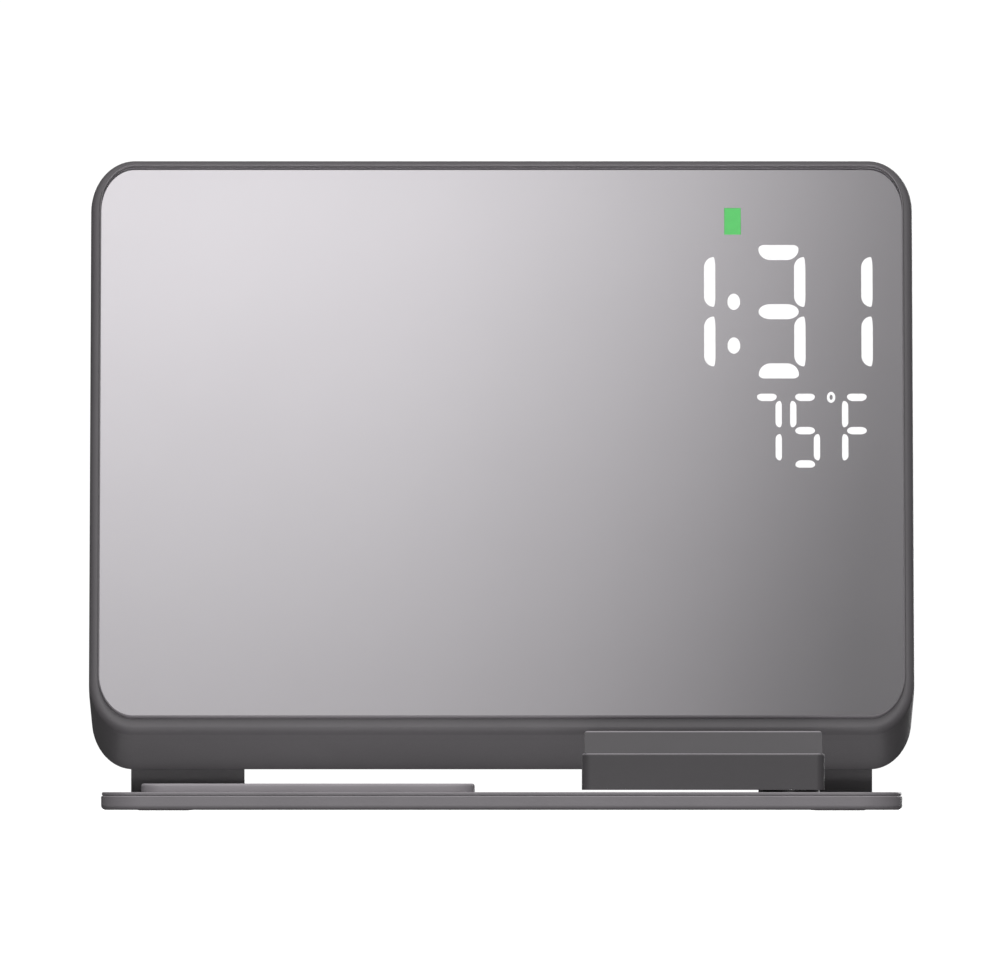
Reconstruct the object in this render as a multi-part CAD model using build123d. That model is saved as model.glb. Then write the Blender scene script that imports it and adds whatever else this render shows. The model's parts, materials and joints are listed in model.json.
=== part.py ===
from build123d import *
import math
import os

# Wireless charging alarm clock: a mirror slab that leans back on two hinge legs, over a thin base plate
# with an earbud pad and a watch charger that swings out. Millimetres, +Z up, the front looks along -Y.
# The origin is under the middle of the whole clock, on the surface that it stands on.

# Shared clearances and small allowances
overrun = 1.0
fit_gap = 0.05
seat_gap = 0.1
running_gap = 0.05
quarter_turn = 90.0

# Leaning slab
panel_width = 160.0
panel_height = 126.7
panel_depth = 17.2
panel_tilt = 28.0
panel_lift = 8.0
panel_corner_across = 8.5
panel_corner_up = 11.1
panel_front_round = 1.4
panel_back_round = 1.2
panel_draft = 0.5
panel_wall = 2.0
bezel_depth = 3.6
rim_side = 1.8
rim_top = 1.8
rim_bottom = 2.9
glass_thickness = 1.0
glass_proud = 1.0
glass_gap = 0.2
glass_edge = 0.2
ledge_width = 2.5
film_thickness = 0.3
film_inset = 0.2

# Tilt hinge
hinge_depth = 11.7
hinge_height = 10.0
pocket_below = 7.6
pocket_above = 6.5
pocket_front = 5.3
pocket_side_gap = 0.6
pocket_wall = 2.0
barrel_radius = 4.6
pin_radius = 2.0
bush_wall = 1.0
bush_lip = 0.35
leg_width = 22.0
leg_side_inset = 16.2
arm_front = 2.0
foot_length = 15.0
foot_thickness = 2.5
foot_round = 2.0
arm_round = 1.2

# Base plate
base_side_inset = 2.9
base_front_reach = 78.0
base_rear_reach = 32.0
base_corner = 7.6
base_thickness = 3.44
cover_thickness = 0.7
cover_round = 0.25
cover_inset = 0.15
seam_edge = 0.2
tray_floor = 0.8
tray_wall = 1.6
tray_round = 0.9
foot_proud = 0.1
rubber_radius = 5.0
rubber_thickness = 0.9
rubber_round = 0.2
rubber_inset = 12.0
rubber_boss_wall = 1.4
rubber_boss_roof = 0.8

# Earbud pad and its charger
pad_length = 46.0
pad_side_inset = 7.7
pad_watch_gap = 20.7
pad_front_inset = 6.0
pad_height = 1.65
pad_corner = 4.8
pad_round = 0.5
earbud_coil_radius = 17.0
earbud_coil_bore = 7.0
earbud_coil_thickness = 1.2
earbud_ferrite_radius = 18.0
earbud_ferrite_thickness = 0.5
base_board_width = 60.0
base_board_length = 20.0
base_board_thickness = 1.0
base_board_ahead = 14.0
base_chip_side = 5.0
base_chip_thickness = 0.7
base_chip_pitch = 16.0
base_chip_count = 3

# Watch charger
watch_side_inset = 15.0
watch_width = 46.6
watch_length = 46.0
watch_front_inset = 4.0
watch_lift = 0.42
watch_case_height = 7.05
watch_lid_height = 4.3
watch_lid_inset = 0.45
watch_lid_slope = 2.5
watch_lid_round = 0.6
watch_case_round = 0.5
watch_corner = 1.5
watch_wall = 1.6
watch_floor = 1.5
puck_radius = 13.5
puck_flange = 1.5
puck_thickness = 3.2
puck_flange_thickness = 1.4
puck_dish_depth = 0.6
puck_dish_radius = 12.0
watch_coil_radius = 11.5
watch_coil_bore = 5.0
watch_coil_thickness = 1.4
watch_magnet_radius = 3.8
watch_ferrite_radius = 12.5
watch_ferrite_thickness = 0.6
watch_board_width = 24.0
watch_board_length = 30.0
watch_board_thickness = 1.0
watch_board_standoff = 1.6
watch_board_side_gap = 3.0
watch_boss_radius = 2.4
watch_boss_inset = 4.6

# Swivel of the watch charger
swivel_from_right = 6.4
swivel_from_front = 7.0
post_radius = 3.0
post_height = 4.9
post_groove = 0.5
washer_radius = 5.5
swivel_bush_wall = 1.15
swivel_boss_wall = 1.4
swivel_boss_height = 1.2
clip_radius = 4.4
clip_thickness = 0.8

# Screws: shank radius, head radius and head height of each kind
case_screw = (1.2, 2.2, 1.6)
board_screw = (1.0, 2.0, 1.1)
foot_screw = (1.25, 2.2, 1.0)
watch_screw = (0.9, 1.7, 0.9)
screw_bite = 4.0
foot_screw_bite = 1.8
watch_screw_bite = 3.0
boss_wall = 1.4
screw_recess = 0.2
drive_span_share = 0.62
drive_slot_share = 0.16
drive_depth_share = 0.45
foot_screw_spacing = 14.0
foot_screw_behind = 8.0
case_post_low_side = 5.6
case_post_low_height = 26.0
case_post_high_side = 10.0
case_post_high_drop = 5.2
case_post_depth = 9.0

# Display behind the mirror
clock_side_inset = 7.76
clock_top_inset = 19.18
minute_pitch = 13.08
colon_pitch = 17.54
clock_digit = dict(width=10.45, height=29.6, across=7.78, upright=11.01, gap=2.18, across_thick=3.35,
                   upright_thick=2.2, mitre=2.35, across_crown=0.9, across_run=1.1, upright_crown=0.35,
                   upright_run=2.7)
row_gap = 3.37
degree_inset = 0.26
degree_pitch = 10.08
degree_digit_pitch = 7.42
degree_digit = dict(width=5.8, height=16.35, across=3.8, upright=5.8, gap=1.52, across_thick=1.63,
                    upright_thick=1.22, mitre=1.2, across_crown=0.65, across_run=0.9, upright_crown=0.4,
                    upright_run=1.2)
colon_width = 2.45
colon_height = 3.6
colon_gap = 3.58
colon_above = 2.2
colon_below = 7.5
ring_gap = 2.18
ring_drop = 0.8
ring_outer = (0.8, 1.2)
ring_inner = (0.3, 0.55)
indicator_width = 3.19
indicator_height = 5.88
indicator_gap = 3.38
indicator_rise = 5.25
light_box_margin = 1.4
light_box_depth = 4.7
segment_thickness = 1.0
window_gap = 0.03
display_board_thickness = 1.2
led_length = 1.0
led_width = 0.5
led_thickness = 0.4

# Main board behind the display
board_side_inset = 10.0
board_width = 74.0
board_low = 21.0
board_high = 55.0
board_depth = 10.2
board_thickness = 1.6
board_screw_inset = 4.0
chip_side = 7.0
chip_thickness = 1.0
chip_pitch = 15.0
chip_count = 4
chip_height = 32.0
usb_inset = 14.0
usb_up = 29.0
usb_width = 8.94
usb_height = 3.26
usb_wall = 0.3
usb_mouth_gap = 0.2
usb_recess = 0.1
tongue_width = 6.7
tongue_height = 0.7
tongue_reach = 4.2
cell_radius = 6.25
cell_thickness = 2.0
cell_inset = 56.0
cell_up = 30.5
holder_wall = 1.0
holder_floor = 0.6
sensor_radius = 1.1
sensor_length = 2.4
sensor_inset = 68.5
sensor_up = 32.0

# Buttons on the back
button_names = ("set_button", "up_button", "down_button", "alarm_button", "dimmer_button")
button_pitch = 12.0
button_inset = 14.0
button_up = 44.5
button_length = 7.6
button_breadth = 4.2
button_proud = 0.7
button_slide_gap = 0.3
button_flange = 0.9
button_flange_thickness = 0.8
button_edge = 0.4
button_travel = 0.5
button_spare = 0.1
mark_span = 2.2
mark_stroke = 0.5
mark_depth = 0.2
bell_share = 0.8
switch_side = 5.2
switch_body = 1.4
switch_plunger_radius = 1.5

# Alarm speaker
speaker_radius = 6.0
speaker_thickness = 4.0
speaker_rise = 8.0
speaker_seat_wall = 1.2
speaker_cone_radius = 4.4
speaker_cone_depth = 0.8
grille_hole_radius = 0.8
grille_pitch = 2.8
grille_rings = 1

# Phone charger at the left of the slab
phone_side_inset = 42.3
phone_rise = 3.0
carrier_side = 62.0
carrier_corner = 6.0
carrier_thickness = 2.0
carrier_rim = 1.5
phone_front_gap = 0.1
phone_coil_radius = 21.5
phone_coil_bore = 9.5
phone_coil_thickness = 1.2
phone_ferrite_thickness = 0.6
magnet_inner = 23.0
magnet_outer = 27.0
magnet_count = 16
magnet_angle_share = 0.8
coil_screw_inset = 4.0

# Places worked out from the sizes above
tilt = math.radians(panel_tilt)
base_width = panel_width - 2 * base_side_inset
leg_center = base_width / 2 - leg_side_inset
watch_left = base_width / 2 - watch_side_inset - watch_width
pad_left = pad_side_inset - base_width / 2
pad_right = watch_left - pad_watch_gap
pad_width = pad_right - pad_left
pad_center = (pad_left + pad_right) / 2
clock_right = panel_width / 2 - clock_side_inset
clock_top = panel_height - clock_top_inset
clock_middle = clock_top - clock_digit["height"] / 2
degree_top = clock_top - clock_digit["height"] - row_gap
degree_right = clock_right - degree_inset
board_right = panel_width / 2 - board_side_inset
board_left = board_right - board_width
usb_across = board_left + usb_inset
cell_across = board_left + cell_inset
sensor_across = board_left + sensor_inset
button_first = board_left + button_inset
phone_across = phone_side_inset - panel_width / 2
phone_up = panel_height / 2 + phone_rise
pocket_side = leg_width / 2 + pocket_side_gap + pocket_wall
speaker_across = (pocket_side - leg_center + board_left) / 2
speaker_up = hinge_height + pocket_above + pocket_wall + speaker_rise
base_bottom = foot_proud
base_top = base_bottom + base_thickness
cover_low = base_top - cover_thickness
tray_inside = base_bottom + tray_floor
rear_round_depth = panel_depth - hinge_depth - panel_back_round
rear_round_up = panel_height - panel_draft - hinge_height - panel_back_round
rear_reach = rear_round_depth * math.cos(tilt) + rear_round_up * math.sin(tilt) + panel_back_round
axis_y = (base_front_reach - rear_reach) / 2
base_front = axis_y - base_front_reach
base_rear = axis_y + base_rear_reach
low_round = panel_back_round * (math.cos(tilt) + math.sin(tilt) - 1)
low_drop = (hinge_height - panel_draft) * math.cos(tilt) + (panel_depth - hinge_depth) * math.sin(tilt)
axis_z = panel_lift + low_drop - low_round
base_middle = (base_front + base_rear) / 2
base_length = base_rear - base_front
glass_width = panel_width - 2 * rim_side
glass_low = rim_bottom
glass_high = panel_height - rim_top
glass_front = -glass_proud
glass_back = glass_front + glass_thickness
film_back = glass_back + film_thickness
housing_inside = panel_depth - panel_wall
board_back = board_depth + board_thickness
light_box_front = film_back + seat_gap
light_box_back = light_box_front + light_box_depth
segment_front = glass_back + fit_gap
segment_back = light_box_front + segment_thickness
display_board_back = light_box_back + display_board_thickness
phone_front = film_back + phone_front_gap
carrier_front = phone_front + phone_coil_thickness + phone_ferrite_thickness
carrier_back = carrier_front + carrier_thickness
pad_middle_y = base_front + pad_front_inset + pad_length / 2
watch_front = base_front + watch_front_inset
watch_middle_x = watch_left + watch_width / 2
watch_middle_y = watch_front + watch_length / 2
watch_low = base_top + watch_lift
watch_seam = watch_low + watch_case_height
watch_top = watch_seam + watch_lid_height
swivel_x = watch_left + watch_width - swivel_from_right
swivel_y = watch_front + swivel_from_front
leg_sides = (-1, 1)


# Helpers
def local_depth(depth):
    return depth - hinge_depth


def local_height(height):
    return height - hinge_height


def lean(shape):
    """Move a slab piece from the upright frame of its hinge to where it leans."""
    return Pos(0, axis_y, axis_z) * Rot(X=-panel_tilt) * shape


def deep(face, front, back):
    """Extrude a drawing of the slab's front view from one depth behind the bezel's face to another."""
    plane = Plane(origin=(0, local_depth(front), 0), x_dir=(1, 0, 0), z_dir=(0, -1, 0))
    return extrude(plane * face, amount=back - front, dir=(0, 1, 0))


def spot(across, height):
    return Pos(across, local_height(height))


def rod(across, height, radius, front, back):
    """A round rod or hole through the slab, from one depth to another."""
    return deep(spot(across, height) * Circle(radius), front, back)


def tall(face, low, high):
    return extrude(Pos(0, 0, low) * face, amount=high - low)


def pillar(x, y, radius, low, high):
    return tall(Pos(x, y) * Circle(radius), low, high)


def ring(outer, inner):
    return Circle(outer) - Circle(inner)


def quarter(across, up, radius_across, radius_up, start):
    """A quarter of an ellipse, counted from the +X side."""
    return EllipticalCenterArc((across, up), radius_across, radius_up, start, arc_size=quarter_turn)


def slab_outline(inset=0.0, low=0.0, high=panel_height, width=panel_width, shrink=0.0):
    """The slab's front view with elliptical corners, drawn in by inset all round."""
    right = width / 2 - inset
    bottom = local_height(low + inset)
    top = local_height(high - inset)
    across = panel_corner_across - inset - shrink
    up = panel_corner_up - inset - shrink
    edges = [
        Line((-right + across, bottom), (right - across, bottom)),
        quarter(right - across, bottom + up, across, up, 270),
        Line((right, bottom + up), (right, top - up)),
        quarter(right - across, top - up, across, up, 0),
        Line((right - across, top), (-right + across, top)),
        quarter(-right + across, top - up, across, up, 90),
        Line((-right, top - up), (-right, bottom + up)),
        quarter(-right + across, bottom + up, across, up, 180),
    ]
    return make_face(Wire(edges).edges())


def glass_outline(inset=0.0):
    return slab_outline(inset, glass_low, glass_high, glass_width, rim_side)


def screw(kind, bite):
    """A screw that points along +Z, with the underside of its head at zero and a cross in the head."""
    shank, head, head_height = kind
    body = tall(Circle(head), -head_height, 0) + tall(Circle(shank), 0, bite)
    slot = Rectangle(2 * head * drive_span_share, 2 * head * drive_slot_share)
    cross = slot + Rot(Z=quarter_turn) * slot
    return body - tall(cross, -head_height - overrun, head_height * drive_depth_share - head_height)


def deep_screw(kind, bite, across, height, seat, backwards):
    """A screw in the slab, with its head's underside at the depth called seat."""
    turn = Rot(X=-90) if backwards else Rot(X=90)
    return Pos(across, local_depth(seat), local_height(height)) * turn * screw(kind, bite)


# Display drawings
def bar(length, above, below, run_above, run_below):
    """A display bar along X, whose ends are rounded over a run of their own on each side."""
    end = length / 2
    flat_above = end - run_above
    flat_below = end - run_below
    edges = [
        quarter(flat_above, 0, run_above, above, 0),
        Line((flat_above, above), (-flat_above, above)),
        quarter(-flat_above, 0, run_above, above, 90),
        quarter(-flat_below, 0, run_below, below, 180),
        Line((-flat_below, -below), (flat_below, -below)),
        quarter(flat_below, 0, run_below, below, 270),
    ]
    return make_face(Wire(edges).edges())


def digit_bars(right, top, size, grow=0.0):
    """The seven bars of a digit by their usual letters: a at the top, round to f, and g in the middle."""
    edge = grow / 2
    mitre = size["mitre"]
    crown = size["across_crown"]
    lean = size["upright_crown"]
    half = size["across_thick"] / 2 + edge
    across = size["across"] + 2 * grow
    upright = size["upright"] + 2 * grow
    flat_bar = bar(across, crown + edge, size["across_thick"] - crown + edge, size["across_run"], mitre)
    upright_bar = bar(upright, lean + edge, size["upright_thick"] - lean + edge, size["upright_run"], mitre)
    middle_bar = bar(across, half, half, mitre, mitre)
    center = right - size["width"] / 2
    left = right - size["width"]
    middle = top - size["height"] / 2
    rise = (size["upright"] + size["gap"]) / 2
    return {
        "a": spot(center, top - crown) * flat_bar,
        "b": spot(right - lean, middle + rise) * Rot(Z=-90) * upright_bar,
        "c": spot(right - lean, middle - rise) * Rot(Z=-90) * upright_bar,
        "d": spot(center, top - size["height"] + crown) * Rot(Z=180) * flat_bar,
        "e": spot(left + lean, middle - rise) * Rot(Z=90) * upright_bar,
        "f": spot(left + lean, middle + rise) * Rot(Z=90) * upright_bar,
        "g": spot(center, middle) * middle_bar,
    }


minute_ones = clock_right
minute_tens = minute_ones - minute_pitch
hour_ones = minute_tens - colon_pitch
hour_tens = hour_ones - minute_pitch
colon_across = hour_ones + colon_gap
colon_heights = (clock_middle + colon_above, clock_middle - colon_below)
indicator_across = hour_ones + indicator_gap
indicator_middle = clock_top + indicator_rise
degree_ones = degree_right - degree_pitch
degree_tens = degree_ones - degree_digit_pitch
ring_across = degree_ones + ring_gap
ring_height = degree_top - ring_drop
# Right edge, top, sizes, the bars that the place has and the bars that are lit
display_places = (
    (hour_tens, clock_top, clock_digit, "bc", ""),
    (hour_ones, clock_top, clock_digit, "abcdefg", "bc"),
    (minute_tens, clock_top, clock_digit, "abcdefg", "abcdg"),
    (minute_ones, clock_top, clock_digit, "abcdefg", "bc"),
    (degree_tens, degree_top, degree_digit, "abcdefg", "abc"),
    (degree_ones, degree_top, degree_digit, "abcdefg", "acdfg"),
    (degree_right, degree_top, degree_digit, "adefg", "aefg"),
)


def display_bars(grow=0.0):
    """Every bar of the display, as two lists: the lit ones and the others."""
    lit = []
    unlit = []
    for right, top, size, has, shows in display_places:
        bars = digit_bars(right, top, size, grow)
        for letter in has:
            chosen = lit if letter in shows else unlit
            chosen.append(bars[letter])
    for height in colon_heights:
        lit.append(spot(colon_across, height) * Ellipse(colon_width / 2 + grow, colon_height / 2 + grow))
    lit.append(spot(ring_across, ring_height) * Ellipse(ring_outer[0] + grow, ring_outer[1] + grow))
    return lit, unlit


def indicator_face(grow=0.0):
    return spot(indicator_across, indicator_middle) * Rectangle(indicator_width + 2 * grow,
                                                                 indicator_height + 2 * grow)


def light_box_edges():
    left = hour_tens - clock_digit["upright_thick"] - light_box_margin
    right = clock_right + light_box_margin
    low = degree_top - degree_digit["height"] - light_box_margin
    high = indicator_middle + indicator_height / 2 + light_box_margin
    return left, right, low, high


def light_box_face():
    left, right, low, high = light_box_edges()
    return spot((left + right) / 2, (low + high) / 2) * Rectangle(right - left, high - low)


def display_windows(front, back):
    lit, unlit = display_bars(window_gap)
    faces = lit + unlit + [indicator_face(window_gap)]
    return [deep(face, front, back) for face in faces]


# Places that more than one piece of the slab uses
def case_posts():
    low_x = panel_width / 2 - case_post_low_side
    high_x = panel_width / 2 - case_post_high_side
    high_z = panel_height - case_post_high_drop
    low = [(side * low_x, case_post_low_height) for side in leg_sides]
    return low + [(side * high_x, high_z) for side in leg_sides]


def board_screw_places():
    xs = (board_left + board_screw_inset, board_right - board_screw_inset)
    heights = (board_low + board_screw_inset, board_high - board_screw_inset)
    return [(x, height) for x in xs for height in heights]


def coil_screw_places():
    """Three corners of the carrier: the lower one at the right would be behind the main board."""
    reach = carrier_side / 2 - coil_screw_inset
    corners = ((-1, -1), (-1, 1), (1, 1))
    return [(phone_across + i * reach, phone_up + j * reach) for i, j in corners]


def button_places():
    return [(button_first + i * button_pitch, button_up) for i in range(len(button_names))]


def grille_places():
    row_pitch = grille_pitch * math.sin(math.radians(60))
    places = []
    for row in range(-grille_rings, grille_rings + 1):
        count = 2 * grille_rings + 1 - abs(row)
        start = -(count - 1) / 2 * grille_pitch
        for i in range(count):
            places.append((speaker_across + start + i * grille_pitch, speaker_up + row * row_pitch))
    return places


def button_face(grow=0.0):
    return SlotOverall(button_length + 2 * grow, button_breadth + 2 * grow)


# Pieces of the slab
def make_front_bezel():
    body = deep(slab_outline(), 0, bezel_depth)
    rim = body.faces().sort_by(Axis.Y)[0].outer_wire().edges()
    body = fillet(rim, panel_front_round)
    body -= deep(glass_outline(-glass_gap), -overrun, film_back)
    body -= deep(glass_outline(ledge_width), 0, bezel_depth + overrun)
    shank = case_screw[0]
    for x, height in case_posts():
        body += rod(x, height, shank + boss_wall, film_back, case_post_depth)
    for x, height in case_posts():
        body -= rod(x, height, shank + fit_gap, bezel_depth, case_post_depth + overrun)
    return body


def make_cover_glass():
    body = deep(glass_outline(), glass_front, glass_back)
    rim = body.faces().sort_by(Axis.Y)[0].outer_wire().edges()
    return chamfer(rim, glass_edge)


def make_mirror_film():
    return deep(glass_outline(film_inset), glass_back, film_back) - display_windows(glass_back - overrun,
                                                                                    film_back + overrun)


def make_rear_housing():
    plane_front = Plane(origin=(0, local_depth(bezel_depth), 0), x_dir=(1, 0, 0), z_dir=(0, -1, 0))
    plane_back = Plane(origin=(0, local_depth(panel_depth), 0), x_dir=(1, 0, 0), z_dir=(0, -1, 0))
    body = loft([plane_front * slab_outline(), plane_back * slab_outline(panel_draft)], ruled=True)
    rim = body.faces().sort_by(Axis.Y)[-1].outer_wire().edges()
    body = fillet(rim, panel_back_round)
    body -= deep(slab_outline(panel_wall), bezel_depth - overrun, housing_inside)
    body = add_hinge_pockets(body)
    return add_housing_bosses(body)


def add_hinge_pockets(body):
    """Two open-backed pockets for the hinge legs, with bores for the bushes in their side walls."""
    half = leg_width / 2 + pocket_side_gap
    low = -pocket_below
    high = pocket_above
    middle = (low + high) / 2
    front = hinge_depth - pocket_front
    bore = pin_radius + running_gap + bush_wall + fit_gap
    for side in leg_sides:
        center = Pos(side * leg_center, middle)
        roof = Rectangle(2 * (half + pocket_wall), high - low + 2 * pocket_wall)
        tub = deep(center * roof, front - pocket_wall, housing_inside + overrun)
        tub &= deep(slab_outline(panel_wall / 2), 0, housing_inside + overrun)
        body += tub
        body -= deep(center * Rectangle(2 * half, high - low), front, panel_depth + overrun)
        reach = half + pocket_wall + overrun
        body -= Pos(side * leg_center, 0, 0) * Rot(Y=90) * Cylinder(bore, 2 * reach)
    return body


def add_housing_bosses(body):
    shank, head, head_height = case_screw
    seat = panel_depth - screw_recess - head_height
    for x, height in case_posts():
        body += rod(x, height, head + boss_wall, case_post_depth, housing_inside + overrun / 2)
    for x, height in board_screw_places():
        body += rod(x, height, board_screw[0] + boss_wall, board_back, housing_inside + overrun / 2)
    for x, height in coil_screw_places():
        body += rod(x, height, board_screw[0] + boss_wall, carrier_back, housing_inside + overrun / 2)
    seat_ring = ring(speaker_radius + seat_gap + speaker_seat_wall, speaker_radius + seat_gap)
    body += deep(spot(speaker_across, speaker_up) * seat_ring, housing_inside - speaker_thickness,
                 housing_inside + overrun / 2)
    cuts = []
    for x, height in case_posts():
        cuts.append(rod(x, height, shank + seat_gap, case_post_depth - overrun, seat + overrun))
        cuts.append(rod(x, height, head + seat_gap, seat, panel_depth + overrun))
    for x, height in board_screw_places():
        cuts.append(rod(x, height, board_screw[0] + fit_gap, board_back - overrun, housing_inside))
    for x, height in coil_screw_places():
        cuts.append(rod(x, height, board_screw[0] + fit_gap, carrier_back - overrun,
                         carrier_back + screw_bite))
    for x, height in button_places():
        cuts.append(deep(spot(x, height) * button_face(button_slide_gap), housing_inside - overrun,
                         panel_depth + overrun))
    for x, height in grille_places():
        cuts.append(rod(x, height, grille_hole_radius, housing_inside - overrun,
                         panel_depth + overrun))
    mouth = SlotOverall(usb_width + 2 * usb_mouth_gap, usb_height + 2 * usb_mouth_gap)
    cuts.append(deep(spot(usb_across, usb_up) * mouth, housing_inside - overrun, panel_depth + overrun))
    return body - cuts


def make_display_light_box():
    body = deep(light_box_face(), light_box_front, light_box_back)
    return body - display_windows(light_box_front - overrun, light_box_back + overrun)


def segment_solids(faces):
    return [deep(face, segment_front, segment_back) for face in faces]


def make_lit_segments():
    lit = display_bars()[0]
    hole = spot(ring_across, ring_height) * Ellipse(ring_inner[0], ring_inner[1])
    solids = segment_solids(lit)
    solids[-1] -= deep(hole, segment_front - overrun, segment_back + overrun)
    return solids


def make_unlit_segments():
    plug = Ellipse(ring_inner[0] - window_gap, ring_inner[1] - window_gap)
    return segment_solids(display_bars()[1] + [spot(ring_across, ring_height) * plug])


def make_charge_indicator():
    return deep(indicator_face(), segment_front, segment_back)


def make_display_leds():
    lit, unlit = display_bars()
    faces = lit + unlit + [indicator_face()]
    leds = []
    for face in faces:
        box = face.bounding_box()
        upright = box.size.Y > box.size.X
        chip = Rectangle(led_width, led_length) if upright else Rectangle(led_length, led_width)
        middle = box.center()
        leds.append(deep(Pos(middle.X, middle.Y) * chip, light_box_back - led_thickness, light_box_back))
    return leds


def make_display_board():
    return deep(light_box_face(), light_box_back, display_board_back)


def board_face():
    middle = spot((board_left + board_right) / 2, (board_low + board_high) / 2)
    return middle * Rectangle(board_right - board_left, board_high - board_low)


def make_main_board():
    holes = [rod(x, height, board_screw[0] + seat_gap, board_depth - overrun, board_back + overrun)
             for x, height in board_screw_places()]
    return deep(board_face(), board_depth, board_back) - holes


def make_board_screws():
    return [deep_screw(board_screw, board_thickness + board_screw[0], x, height, board_depth, True)
            for x, height in board_screw_places()]


def make_driver_chips():
    chips = []
    square = Rectangle(chip_side, chip_side)
    for i in range(chip_count):
        x = usb_across + (i + 1) * chip_pitch - chip_side / 2
        chips.append(deep(spot(x, chip_height) * square, board_depth - chip_thickness, board_depth))
    return chips


def make_usb_shell():
    outer = SlotOverall(usb_width, usb_height)
    inner = SlotOverall(usb_width - 2 * usb_wall, usb_height - 2 * usb_wall)
    place = spot(usb_across, usb_up)
    mouth = panel_depth - usb_recess
    shell = deep(place * outer, board_back, mouth)
    return shell - deep(place * inner, board_back + usb_wall, mouth + overrun)


def make_usb_tongue():
    start = board_back + usb_wall
    face = spot(usb_across, usb_up) * Rectangle(tongue_width, tongue_height)
    return deep(face, start, start + tongue_reach)


def make_cell_holder():
    inner = cell_radius + seat_gap
    rim = board_back + holder_floor + cell_thickness
    cup = rod(cell_across, cell_up, inner + holder_wall, board_back, rim)
    return cup - rod(cell_across, cell_up, inner, board_back + holder_floor, rim + overrun)


def make_backup_cell():
    start = board_back + holder_floor
    return rod(cell_across, cell_up, cell_radius, start, start + cell_thickness)


def make_temperature_sensor():
    return rod(sensor_across, sensor_up, sensor_radius, board_back, board_back + sensor_length)


def button_inner():
    """Depth of the inner end of a button that is not pressed."""
    return housing_inside - running_gap - button_flange_thickness


def make_button_switches():
    switches = []
    square = Rectangle(switch_side, switch_side)
    top = button_inner() - button_travel - button_spare
    for x, height in button_places():
        base = deep(spot(x, height) * square, board_back, board_back + switch_body)
        plunger = rod(x, height, switch_plunger_radius, board_back + switch_body, top)
        switches.append(base + plunger)
    return switches


def button_marks():
    """A plain sign for each button: ring, plus, minus, bell and half-filled ring."""
    radius = mark_span / 2
    circle = ring(radius, radius - mark_stroke)
    minus = Rectangle(mark_span, mark_stroke)
    plus = minus + Rot(Z=quarter_turn) * minus
    half = Circle(radius) & Pos(radius, 0) * Rectangle(mark_span, mark_span)
    dome = Circle(radius * bell_share) & Pos(0, radius) * Rectangle(mark_span, mark_span)
    bell = dome + Pos(0, -mark_stroke / 2) * minus
    return dict(zip(button_names, (circle, plus, minus, bell, circle + half)))


def make_button(x, height, mark):
    place = spot(x, height)
    outside = panel_depth + button_proud
    cap = deep(place * button_face(), button_inner(), outside)
    edge = cap.faces().sort_by(Axis.Y)[-1].edges()
    cap = fillet(edge, button_edge)
    cap -= deep(place * mark, outside - mark_depth, outside + overrun)
    return cap + deep(place * button_face(button_flange), button_inner(), housing_inside - running_gap)


def make_alarm_speaker():
    front = housing_inside - speaker_thickness
    cone = housing_inside - speaker_cone_depth
    body = rod(speaker_across, speaker_up, speaker_radius, front, housing_inside)
    return body - rod(speaker_across, speaker_up, speaker_cone_radius, cone, housing_inside + overrun)


def make_phone_coil_carrier():
    place = spot(phone_across, phone_up)
    plate = RectangleRounded(carrier_side, carrier_side, carrier_corner)
    body = deep(place * plate, carrier_front, carrier_back)
    rim = ring(magnet_outer + seat_gap + carrier_rim, magnet_outer + seat_gap)
    body += deep(place * rim, phone_front, carrier_back)
    holes = [rod(x, height, board_screw[0] + seat_gap, carrier_front - overrun, carrier_back + overrun)
             for x, height in coil_screw_places()]
    return body - holes


def make_coil_screws():
    bite = carrier_thickness + screw_bite - board_screw[0]
    return [deep_screw(board_screw, bite, x, height, carrier_front, True)
            for x, height in coil_screw_places()]


def make_phone_coil():
    place = spot(phone_across, phone_up)
    face = place * ring(phone_coil_radius, phone_coil_bore)
    return deep(face, phone_front, phone_front + phone_coil_thickness)


def make_phone_ferrite():
    start = phone_front + phone_coil_thickness
    return rod(phone_across, phone_up, phone_coil_radius, start, carrier_front)


def make_phone_magnets():
    step = 360 / magnet_count
    arc = step * magnet_angle_share
    front = carrier_front - (magnet_outer - magnet_inner) / 2 + seat_gap
    magnets = []
    for i in range(magnet_count):
        outer = CenterArc((0, 0), magnet_outer, i * step, arc)
        inner = CenterArc((0, 0), magnet_inner, i * step, arc)
        sides = [Line(outer @ 0, inner @ 0), Line(outer @ 1, inner @ 1)]
        face = make_face([outer, inner] + sides)
        magnets.append(deep(spot(phone_across, phone_up) * face, front, carrier_front))
    return magnets


def make_hinge_bushes():
    """A bush with a thin lip in each side wall of the two hinge pockets."""
    half = leg_width / 2 + pocket_side_gap
    bore = pin_radius + running_gap
    outer = bore + bush_wall
    bushes = []
    for side in leg_sides:
        for end in leg_sides:
            tube = tall(ring(outer, bore), 0, pocket_wall)
            lip = tall(ring(outer + bush_wall, bore), -bush_lip, 0)
            place = Pos(side * leg_center + end * half, 0, 0) * Rot(Y=end * 90)
            bushes.append(place * (tube + lip))
    return bushes


def make_case_screws():
    shank, head, head_height = case_screw
    seat = panel_depth - screw_recess - head_height
    bite = seat - case_post_depth + screw_bite
    return [deep_screw(case_screw, bite, x, height, seat, False) for x, height in case_posts()]


# Pieces of the base
def base_face(inset=0.0):
    return Pos(0, base_middle) * RectangleRounded(base_width - 2 * inset, base_length - 2 * inset,
                                                  base_corner - inset)


def rubber_places():
    x = base_width / 2 - rubber_inset
    ys = (base_front + rubber_inset, base_rear - rubber_inset)
    return [(side * x, y) for side in leg_sides for y in ys]


def foot_screw_places():
    y = axis_y + arm_front + foot_screw_behind
    reach = foot_screw_spacing / 2
    return [(side * leg_center + end * reach, y) for side in leg_sides for end in leg_sides]


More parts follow.
